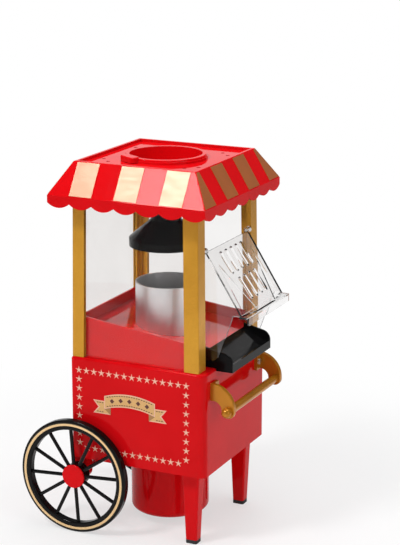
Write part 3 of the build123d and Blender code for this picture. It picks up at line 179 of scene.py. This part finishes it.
# Bright sheet metal with faint drawing marks along its height
DRAWING_MARKS = (1.0, 1.0, 0.05)
METAL_SURFACE = {
    "colour_noise": {"scale": 40.0, "detail": 4.0},
    "smooth": 0.34, "rough": 0.46,
    "rough_noise": {"scale": 300.0, "detail": 4.0, "stretch": DRAWING_MARKS},
    "relief": 0.02, "depth": 0.1 * MM,
    "relief_noise": {"scale": 300.0, "detail": 2.0, "stretch": DRAWING_MARKS},
    "Metallic": 1.0,
}
# Plated steel of screws, pins and the axle
STEEL_SURFACE = {
    "colour_noise": {"scale": 200.0, "detail": 4.0},
    "smooth": 0.22, "rough": 0.40, "rough_noise": {"scale": 900.0, "detail": 4.0},
    "relief": 0.05, "depth": 0.1 * MM, "relief_noise": {"scale": 1800.0},
    "Metallic": 1.0,
}
# Layered mica with pale flakes
MICA_SURFACE = {
    "colour_noise": {"scale": 220.0, "flakes": True},
    "smooth": 0.35, "rough": 0.55, "rough_noise": {"scale": 300.0},
    "relief": 0.1, "depth": 0.2 * MM, "relief_noise": {"scale": 400.0},
}
# Printed colour with a fine screen-print grain
PRINT_SURFACE = {
    "colour_noise": {"scale": 900.0, "detail": 5.0},
    "smooth": 0.28, "rough": 0.42, "rough_noise": {"scale": 300.0, "detail": 4.0},
    "relief": 0.06, "depth": 0.05 * MM, "relief_noise": {"scale": 2200.0, "detail": 2.0},
}


# Node trees
class Nodes:
    """A node tree, and short ways to add and join its nodes."""

    def __init__(self, tree):
        self.tree = tree

    def add(self, kind, **values):
        """New node, with its sockets or properties set by name."""
        node = self.tree.nodes.new(kind)
        for name, value in values.items():
            label = name.replace("_", " ")
            if label in node.inputs:
                node.inputs[label].default_value = value
            else:
                setattr(node, name, value)
        return node

    def join(self, source, target):
        self.tree.links.new(source, target)

    def feed(self, value, target):
        """Set a socket to a number, or join another socket to it."""
        if isinstance(value, float):
            target.default_value = value
        else:
            self.join(value, target)

    def maths(self, operation, first, second, clamp=False):
        """Socket with the result of an operation on two sockets."""
        node = self.add("ShaderNodeMath", operation=operation, use_clamp=clamp)
        self.join(first, node.inputs[0])
        self.join(second, node.inputs[1])
        return node.outputs["Value"]

    def length(self, vector):
        """Socket with a vector's length."""
        node = self.add("ShaderNodeVectorMath", operation="LENGTH")
        self.join(vector, node.inputs[0])
        return node.outputs["Value"]

    def span(self, value, start, end, low, high, curve="SMOOTHSTEP"):
        """Socket that runs from low to high while a value runs from start to end."""
        node = self.add("ShaderNodeMapRange", interpolation_type=curve)
        ends = {"From Min": start, "From Max": end, "To Min": low, "To Max": high}
        for label, number in ends.items():
            node.inputs[label].default_value = number
        self.join(value, node.inputs["Value"])
        return node.outputs["Result"]

    def blend(self, factor, low, high):
        """Socket that runs between two numbers or sockets with a factor."""
        mix = self.add("ShaderNodeMix")
        self.join(factor, mix.inputs["Factor"])
        self.feed(low, mix.inputs["A"])
        self.feed(high, mix.inputs["B"])
        return mix.outputs["Result"]

    def seen_rays(self):
        """Socket that is 1 for rays from the camera, from gloss and through glass, and 0 for the rest."""
        path = self.add("ShaderNodeLightPath").outputs
        shown = self.maths("MAXIMUM", path["Is Camera Ray"], path["Is Glossy Ray"])
        return self.maths("MAXIMUM", shown, path["Is Transmission Ray"])

    def mirror_rays(self):
        """Socket that is 1 for rays that a surface mirrors, and 0 for those through glass and the rest."""
        path = self.add("ShaderNodeLightPath").outputs
        return self.maths("SUBTRACT", path["Is Glossy Ray"], path["Is Transmission Ray"], clamp=True)


class Shader(Nodes):
    """A new material with its main shader."""

    def __init__(self, name):
        self.material = bpy.data.materials.new(name)
        self.material.use_nodes = True
        super().__init__(self.material.node_tree)
        self.main = self.tree.nodes["Principled BSDF"]
        self.place = self.add("ShaderNodeTexCoord").outputs["Object"]

    def set(self, **values):
        """Constant values on the main shader's sockets."""
        for name, value in values.items():
            self.main.inputs[name.replace("_", " ")].default_value = value

    def noise(self, scale, detail=3.0, stretch=(1.0, 1.0, 1.0), flakes=False):
        """Noise or flakes in the part's own space, stretched along an axis where asked."""
        mapping = self.add("ShaderNodeMapping", Scale=stretch)
        self.join(self.place, mapping.inputs["Vector"])
        if flakes:
            texture = self.add("ShaderNodeTexVoronoi", Scale=scale)
            result = texture.outputs["Distance"]
        else:
            texture = self.add("ShaderNodeTexNoise", Scale=scale, Detail=detail)
            result = texture.outputs["Fac"]
        self.join(mapping.outputs["Vector"], texture.inputs["Vector"])
        return result

    def colour(self, factor, low, high):
        """Base colour that wanders between two colours."""
        ramp = self.add("ShaderNodeValToRGB")
        ends = ((NOISE_LOW, low), (NOISE_HIGH, high))
        for element, (position, shade) in zip(ramp.color_ramp.elements, ends):
            element.position = position
            element.color = (*shade, 1.0)
        self.join(factor, ramp.inputs["Fac"])
        self.join(ramp.outputs["Color"], self.main.inputs["Base Color"])

    def roughness(self, factor, low, high):
        """Roughness that wanders between two values."""
        result = self.span(factor, NOISE_LOW, NOISE_HIGH, low, high, "LINEAR")
        self.join(result, self.main.inputs["Roughness"])

    def bump(self, factor, strength, distance):
        """Fine relief from a texture."""
        relief = self.add("ShaderNodeBump", Strength=strength, Distance=distance)
        self.join(factor, relief.inputs["Height"])
        self.join(relief.outputs["Normal"], self.main.inputs["Normal"])

    def overlay(self, factor, other):
        """Show another shader in place of the main one where a factor is 1."""
        mix = self.add("ShaderNodeMixShader")
        self.join(factor, mix.inputs["Fac"])
        self.join(self.main.outputs["BSDF"], mix.inputs[1])
        self.join(other, mix.inputs[2])
        self.join(mix.outputs["Shader"], self.tree.nodes["Material Output"].inputs["Surface"])


# Materials
def surface(name, low, high, colour_noise, smooth, rough, rough_noise,
            relief, depth, relief_noise, **values):
    """Shader whose colour, roughness and relief each follow a noise. Other sockets get constant values."""
    shader = Shader(name)
    shader.colour(shader.noise(**colour_noise), low, high)
    shader.roughness(shader.noise(**rough_noise), smooth, rough)
    shader.bump(shader.noise(**relief_noise), relief, depth)
    shader.set(**values)
    return shader


def plain(name, low, high, look, **values):
    """Material with one of the surfaces above, between two colours."""
    return surface(name, low, high, **look, **values).material


def clear_moulding(name, low, high, ior):
    """Clear plastic that lets lamp light through."""
    shader = surface(name, low, high, IOR=ior, **CLEAR_SURFACE)
    path = shader.add("ShaderNodeLightPath")
    film = shader.add("ShaderNodeBsdfTransparent", Color=SHADOW_FILM)
    shader.overlay(path.outputs["Is Shadow Ray"], film.outputs["BSDF"])
    return shader.material


def ring_foil(name, ring, low, high, **values):
    """Foil of a wheel's ring, with a black painted margin along its outer edge."""
    shader = surface(name, low, high, **FOIL_SURFACE, **values)
    corners = [vertex.co for vertex in frame["nodes"][ring].data.vertices]
    first = Vector([min(corner[axis] for corner in corners) for axis in range(3)])
    last = Vector([max(corner[axis] for corner in corners) for axis in range(3)])
    offset = shader.add("ShaderNodeVectorMath", operation="SUBTRACT")
    shader.join(shader.place, offset.inputs[0])
    offset.inputs[1].default_value = (first + last) / 2
    radial = shader.add("ShaderNodeVectorMath", operation="MULTIPLY")
    shader.join(offset.outputs["Vector"], radial.inputs[0])
    radial.inputs[1].default_value = ACROSS_THE_AXLE
    margin = (last.x - first.x) / 2 - RING_MARGIN
    radius = shader.length(radial.outputs["Vector"])
    edge = shader.span(radius, margin, margin + RING_SOFT_EDGE, 0.0, 1.0, "LINEAR")
    paint = shader.add("ShaderNodeMixRGB", Color2=RING_PAINT)
    base = shader.main.inputs["Base Color"]
    shader.join(edge, paint.inputs["Fac"])
    shader.join(base.links[0].from_socket, paint.inputs["Color1"])
    shader.join(paint.outputs["Color"], base)
    return shader.material


SLOT_MATERIALS = {
    "red_gloss": plain("red_moulding", (0.62, 0.0028, 0.0050), (0.70, 0.0040, 0.0070), RED_SURFACE,
                       Specular_IOR_Level=0.08),
    "gold_plastic": plain("post_lacquer", (0.58, 0.270, 0.020), (0.68, 0.330, 0.030), LACQUER_SURFACE,
                          smooth=0.26, rough=0.40),
    "gold_foil": plain("roof_foil", (0.38, 0.088, 0.008), (0.44, 0.105, 0.012), FOIL_SURFACE,
                       Metallic=0.1, Specular_IOR_Level=1.0),
    "clear_plastic": clear_moulding("clear_pane", (0.893, 0.881, 0.873), (0.917, 0.905, 0.897), ior=1.16),
    "black_gloss": plain("black_moulding", (0.0035, 0.0035, 0.0038), (0.0060, 0.0060, 0.0064), BLACK_SURFACE),
    "black_matte": plain("black_wheel", (0.0035, 0.0033, 0.0033), (0.0065, 0.0060, 0.0060), WHEEL_SURFACE),
    "red_switch": plain("red_rocker", (0.55, 0.0040, 0.0050), (0.62, 0.0050, 0.0070), RED_SURFACE,
                        Specular_IOR_Level=0.3),
    "dark_rubber": plain("dark_rubber", (0.016, 0.015, 0.015), (0.030, 0.029, 0.028), RUBBER_SURFACE),
    "bright_metal": plain("drawn_metal", (0.70, 0.70, 0.71), (0.80, 0.80, 0.81), METAL_SURFACE),
    "steel": plain("plated_steel", (0.50, 0.50, 0.51), (0.64, 0.63, 0.62), STEEL_SURFACE),
    "mica": plain("mica_board", (0.42, 0.36, 0.28), (0.62, 0.55, 0.44), MICA_SURFACE),
}
RING_FOIL = ring_foil("trim_foil", "wheel_trim_left", (0.84, 0.555, 0.270), (0.90, 0.620, 0.320),
                      Metallic=0.35, Specular_IOR_Level=0.5)
HANDLE_LACQUER = plain("handle_lacquer", (0.44, 0.165, 0.010), (0.52, 0.205, 0.016), LACQUER_SURFACE,
                       smooth=0.13, rough=0.24)
NODE_MATERIALS = {
    "cabin_ramp": plain("red_trough", (0.50, 0.0050, 0.0060), (0.56, 0.0070, 0.0080), RED_SURFACE,
                        Specular_IOR_Level=0.45),
    "serving_flap": clear_moulding("clear_flap", (0.930, 0.922, 0.918), (0.955, 0.948, 0.944), ior=1.46),
    "wheel_trim_left": RING_FOIL,
    "wheel_trim_right": RING_FOIL,
    "handle_arm_left": HANDLE_LACQUER,
    "handle_arm_right": HANDLE_LACQUER,
    "handle_bar": HANDLE_LACQUER,
    "handle_knobs": HANDLE_LACQUER,
}
STAR_PRINT = plain("star_print", (0.80, 0.46, 0.34), (0.88, 0.54, 0.40), PRINT_SURFACE, Metallic=0.0)
RIBBON_PRINT = plain("ribbon_print", (0.66, 0.37, 0.13), (0.76, 0.45, 0.17), PRINT_SURFACE, Metallic=0.1)
FOLD_PRINT = plain("fold_print", (0.36, 0.17, 0.055), (0.44, 0.22, 0.075), PRINT_SURFACE, Metallic=0.1)
INK_PRINT = plain("ink_print", (0.075, 0.010, 0.008), (0.115, 0.016, 0.012), PRINT_SURFACE, Metallic=0.0)


def dress_nodes():
    """Give every CAD node its own finish, or else the finish of its slot."""
    for row in frame["record"]["subparts"]:
        node = frame["nodes"][row["node"]]
        finish = NODE_MATERIALS.get(row["node"], SLOT_MATERIALS[row["material_slot"]])
        if not node.data.materials:
            node.data.materials.append(finish)
        for index in range(len(node.data.materials)):
            node.data.materials[index] = finish


# Thin printed pieces on the sides of the box
class SideFace:
    """One upright side of the box: -1 is the side towards -Y, and 1 the side towards +Y."""

    def __init__(self, side):
        low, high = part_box("base_housing")
        self.side = side
        self.face = high.y if side > 0 else low.y
        self.rear = low.x
        self.foot = low.z
        self.length = high.x - low.x
        self.height = high.z - low.z

    def point(self, along, up, lift):
        """Place on the face: along from the box's rear edge, up from its lower edge, lifted off the face."""
        return Vector((self.rear + along, self.face + self.side * lift, self.foot + up))


def printed_piece(name, face, outlines, base, material):
    """Closed thin plates with the given outlines, joined into one piece that rides on the cart."""
    mesh = bpy.data.meshes.new(name)
    build = bmesh.new()
    for outline in outlines:
        lower = [build.verts.new(face.point(along, up, base)) for along, up in outline]
        upper = [build.verts.new(face.point(along, up, base + FILM)) for along, up in outline]
        build.faces.new(upper)
        build.faces.new(lower[::-1])
        count = len(outline)
        for step in range(count):
            after = (step + 1) % count
            build.faces.new((lower[step], lower[after], upper[after], upper[step]))
    bmesh.ops.recalc_face_normals(build, faces=build.faces)
    build.to_mesh(mesh)
    build.free()
    mesh.materials.append(material)
    piece = bpy.data.objects.new(name, mesh)
    bpy.context.scene.collection.objects.link(piece)
    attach(piece, "cart")


def star_outline(along, up):
    """Star with one point upwards."""
    points = []
    for corner in range(2 * STAR_POINTS):
        turn = math.radians(90 + 180 / STAR_POINTS * corner)
        radius = STAR_RADIUS if corner % 2 == 0 else STAR_RADIUS * STAR_WAIST
        points.append((along + radius * math.cos(turn), up + radius * math.sin(turn)))
    return points


def star_border(face, name):
    """Stars round the edge of one side."""
    first, last = STAR_INSET_REAR, face.length - STAR_INSET_FRONT
    bottom, top = STAR_INSET_LOW, face.height - STAR_INSET_HIGH
    pitch = (last - first) / (STAR_COLUMNS - 1)
    rise = (top - bottom) / (STAR_ROWS - 1)
    outlines = []
    for along in (first, last):
        outlines += [star_outline(along, bottom + rise * row) for row in range(STAR_ROWS)]
    for column in range(1, STAR_COLUMNS - 1):
        outlines.append(star_outline(first + pitch * column, top))
        outlines.append(star_outline(first + pitch * column, bottom - STAR_ROW_DROP))
    printed_piece(name, face, outlines, 0.0, STAR_PRINT)


class Ribbon:
    """Arched ribbon with a folded, notched tail at each end, drawn near the middle of one side."""

    def __init__(self, face):
        self.middle = face.length / 2 + RIBBON_MIDDLE_SHIFT

    def place(self, across, rise):
        return self.middle + across, RIBBON_MIDDLE_HEIGHT + rise

    def arch(self, across):
        return RIBBON_ARCH * (1 - (across / RIBBON_HALF) ** 2)

    def panel(self, inset):
        """Outline of the arched middle, drawn in by an inset."""
        half, rise = RIBBON_HALF - inset, RIBBON_HEIGHT / 2 - inset
        steps = [-half + 2 * half * step / RIBBON_STEPS for step in range(RIBBON_STEPS + 1)]
        upper = [self.place(across, self.arch(across) + rise) for across in steps]
        lower = [self.place(across, self.arch(across) - rise) for across in reversed(steps)]
        return upper + lower

    def tail(self, way, inset):
        """Outline of the tail at one end, behind the middle and lower than it, drawn in by an inset."""
        inner = way * (RIBBON_HALF - RIBBON_TAIL_OVERLAP + inset)
        outer = way * (RIBBON_HALF - RIBBON_TAIL_OVERLAP + RIBBON_TAIL - 2 * inset)
        notch = outer - way * RIBBON_NOTCH
        top = RIBBON_HEIGHT / 2 - inset - RIBBON_TAIL_DROP
        bottom = inset - RIBBON_HEIGHT / 2 - RIBBON_TAIL_DROP
        corners = [(inner, top), (outer, top), (notch, (top + bottom) / 2), (outer, bottom), (inner, bottom)]
        return [self.place(across, rise) for across, rise in corners]

    def fold(self, way):
        """Outline of the fold where a tail turns behind the middle."""
        inner = way * (RIBBON_HALF - RIBBON_TAIL_OVERLAP)
        low = -RIBBON_HEIGHT / 2
        return [
            self.place(way * RIBBON_HALF, low),
            self.place(inner, low - RIBBON_TAIL_DROP),
            self.place(inner, self.arch(inner) + low),
        ]

    def dash(self, across, rise):
        """Outline of one stitch."""
        half, width = DASH_LENGTH / 2, DASH_WIDTH / 2
        corners = [(-half, -width), (half, -width), (half, width), (-half, width)]
        return [self.place(across + along, rise + up) for along, up in corners]

    def dashes(self):
        """Stitches along the upper and lower edges of the middle."""
        outlines = []
        count = int((RIBBON_HALF - DASH_INSET) / DASH_PITCH)
        for step in range(-count, count + 1):
            for edge in (-1, 1):
                across = step * DASH_PITCH
                rise = self.arch(across) + edge * (RIBBON_HEIGHT / 2 - DASH_INSET)
                outlines.append(self.dash(across, rise))
        return outlines

    def tail_dashes(self):
        """Stitches along the edges of the tails, outside the middle."""
        outlines = []
        room = RIBBON_TAIL - RIBBON_TAIL_OVERLAP - RIBBON_NOTCH / 2
        for way in (-1, 1):
            for step in range(int(room / DASH_PITCH)):
                for edge in (-1, 1):
                    across = way * (RIBBON_HALF + DASH_INSET + step * DASH_PITCH)
                    rise = edge * (RIBBON_HEIGHT / 2 - DASH_INSET) - RIBBON_TAIL_DROP
                    outlines.append(self.dash(across, rise))
        return outlines

    def diamonds(self):
        """Row of plain diamonds along the middle."""
        outlines = []
        for step in range(DIAMOND_COUNT):
            across = (step - (DIAMOND_COUNT - 1) / 2) * DIAMOND_PITCH
            rise = self.arch(across)
            corners = [(-DIAMOND_HALF, 0), (0, -DIAMOND_HALF), (DIAMOND_HALF, 0), (0, DIAMOND_HALF)]
            outlines.append([self.place(across + along, rise + up) for along, up in corners])
        return outlines


def ribbon(face, name):
    """All the layers of the ribbon on one side, from the tails up."""
    drawn = Ribbon(face)
    tails = [drawn.tail(way, 0.0) for way in (-1, 1)]
    tail_fields = [drawn.tail(way, RIBBON_BORDER) for way in (-1, 1)]
    folds = [drawn.fold(way) for way in (-1, 1)]
    layers = [
        ("tails", tails, STAR_PRINT, "gold_foil"),
        ("tail_fields", tail_fields, RIBBON_PRINT, "gold_foil"),
        ("tail_stitches", drawn.tail_dashes(), INK_PRINT, "black_matte"),
        ("folds", folds, FOLD_PRINT, "gold_foil"),
        ("panel", [drawn.panel(0.0)], STAR_PRINT, "gold_foil"),
        ("field", [drawn.panel(RIBBON_BORDER)], RIBBON_PRINT, "gold_foil"),
        ("marks", drawn.dashes() + drawn.diamonds(), INK_PRINT, "black_matte"),
    ]
    for depth, (layer, outlines, finish, slot) in enumerate(layers):
        printed_piece(f"{name}_{layer}", face, outlines, depth * FILM, finish)


# Floor, light and camera
def white_floor():
    """White floor that keeps the shadow near the cart and runs out to plain white."""
    bpy.ops.mesh.primitive_plane_add(size=2 * FLOOR_HALF)
    floor = bpy.context.object
    floor.name = "floor"
    shader = Shader("white_floor")
    shader.colour(shader.noise(FLOOR_NOISE_SCALE), FLOOR_DARK, FLOOR_LIGHT)
    shader.set(Roughness=FLOOR_ROUGHNESS, Specular_IOR_Level=FLOOR_SHINE)
    distance = shader.length(shader.place)
    reach = shader.span(distance, FLOOR_CLEAR_START, FLOOR_CLEAR_END, FLOOR_GLOW_NEAR, 1.0)
    fade = shader.span(distance, FLOOR_MIRROR_START, FLOOR_MIRROR_END, 1.0, 0.0)
    mirrored = shader.blend(shader.mirror_rays(), 1.0, fade)
    seen = shader.maths("MULTIPLY", shader.seen_rays(), mirrored)
    glow = shader.add("ShaderNodeEmission", Color=WHITE)
    shader.overlay(shader.maths("MULTIPLY", reach, seen), glow.outputs["Emission"])
    floor.data.materials.append(shader.material)


def area_lamp(name, place, width, height, power):
    """Soft rectangular lamp aimed at the cart."""
    lamp = bpy.data.lights.new(name, "AREA")
    lamp.shape = "RECTANGLE"
    lamp.size = width
    lamp.size_y = height
    lamp.energy = power
    holder = bpy.data.objects.new(name, lamp)
    holder.location = place
    holder.rotation_euler = (Vector(LAMP_TARGET) - Vector(place)).to_track_quat("-Z", "Y").to_euler()
    bpy.context.scene.collection.objects.link(holder)


def studio_light():
    """White backdrop with a dimmer ceiling, even fill, and soft lamps from the left, above and the front."""
    world = bpy.data.worlds.new("studio")
    world.use_nodes = True
    nodes = Nodes(world.node_tree)
    backdrop = world.node_tree.nodes["Background"]
    backdrop.inputs["Color"].default_value = WHITE
    direction = nodes.add("ShaderNodeTexCoord").outputs["Generated"]
    split = nodes.add("ShaderNodeSeparateXYZ")
    nodes.join(direction, split.inputs["Vector"])
    horizon, dim = (math.sin(math.radians(angle)) for angle in (HORIZON_WHITE_DEG, HORIZON_DIM_DEG))
    fall = nodes.span(split.outputs["Z"], horizon, dim, 1.0, CEILING)
    flag = nodes.span(split.outputs["X"], FLAG_START, FLAG_END, 0.0, 1.0)
    flagged = nodes.blend(flag, fall, CEILING)
    gloss = nodes.blend(nodes.mirror_rays(), 1.0, flagged)
    level = nodes.blend(nodes.seen_rays(), AMBIENT, gloss)
    nodes.join(level, backdrop.inputs["Strength"])
    bpy.context.scene.world = world
    for name, lamp in LAMPS.items():
        area_lamp(name, **lamp)


def photo_camera():
    """Camera at the photograph's angle."""
    data = bpy.data.cameras.new("camera")
    data.lens = CAMERA_LENS_MM
    data.sensor_width = CAMERA_SENSOR_MM
    data.clip_end = CAMERA_REACH
    camera = bpy.data.objects.new("camera", data)
    camera.location = CAMERA_PLACE
    tilt, turn = math.radians(90 - CAMERA_ELEVATION_DEG), math.radians(CAMERA_AZIMUTH_DEG)
    camera.rotation_euler = (tilt, 0.0, turn)
    bpy.context.scene.collection.objects.link(camera)
    bpy.context.scene.camera = camera


dress_nodes()
for side, name in ((-1, "left"), (1, "right")):
    side_face = SideFace(side)
    star_border(side_face, f"star_border_{name}")
    ribbon(side_face, f"ribbon_{name}")
white_floor()
studio_light()
photo_camera()
bpy.context.scene.view_settings.view_transform = "Standard"
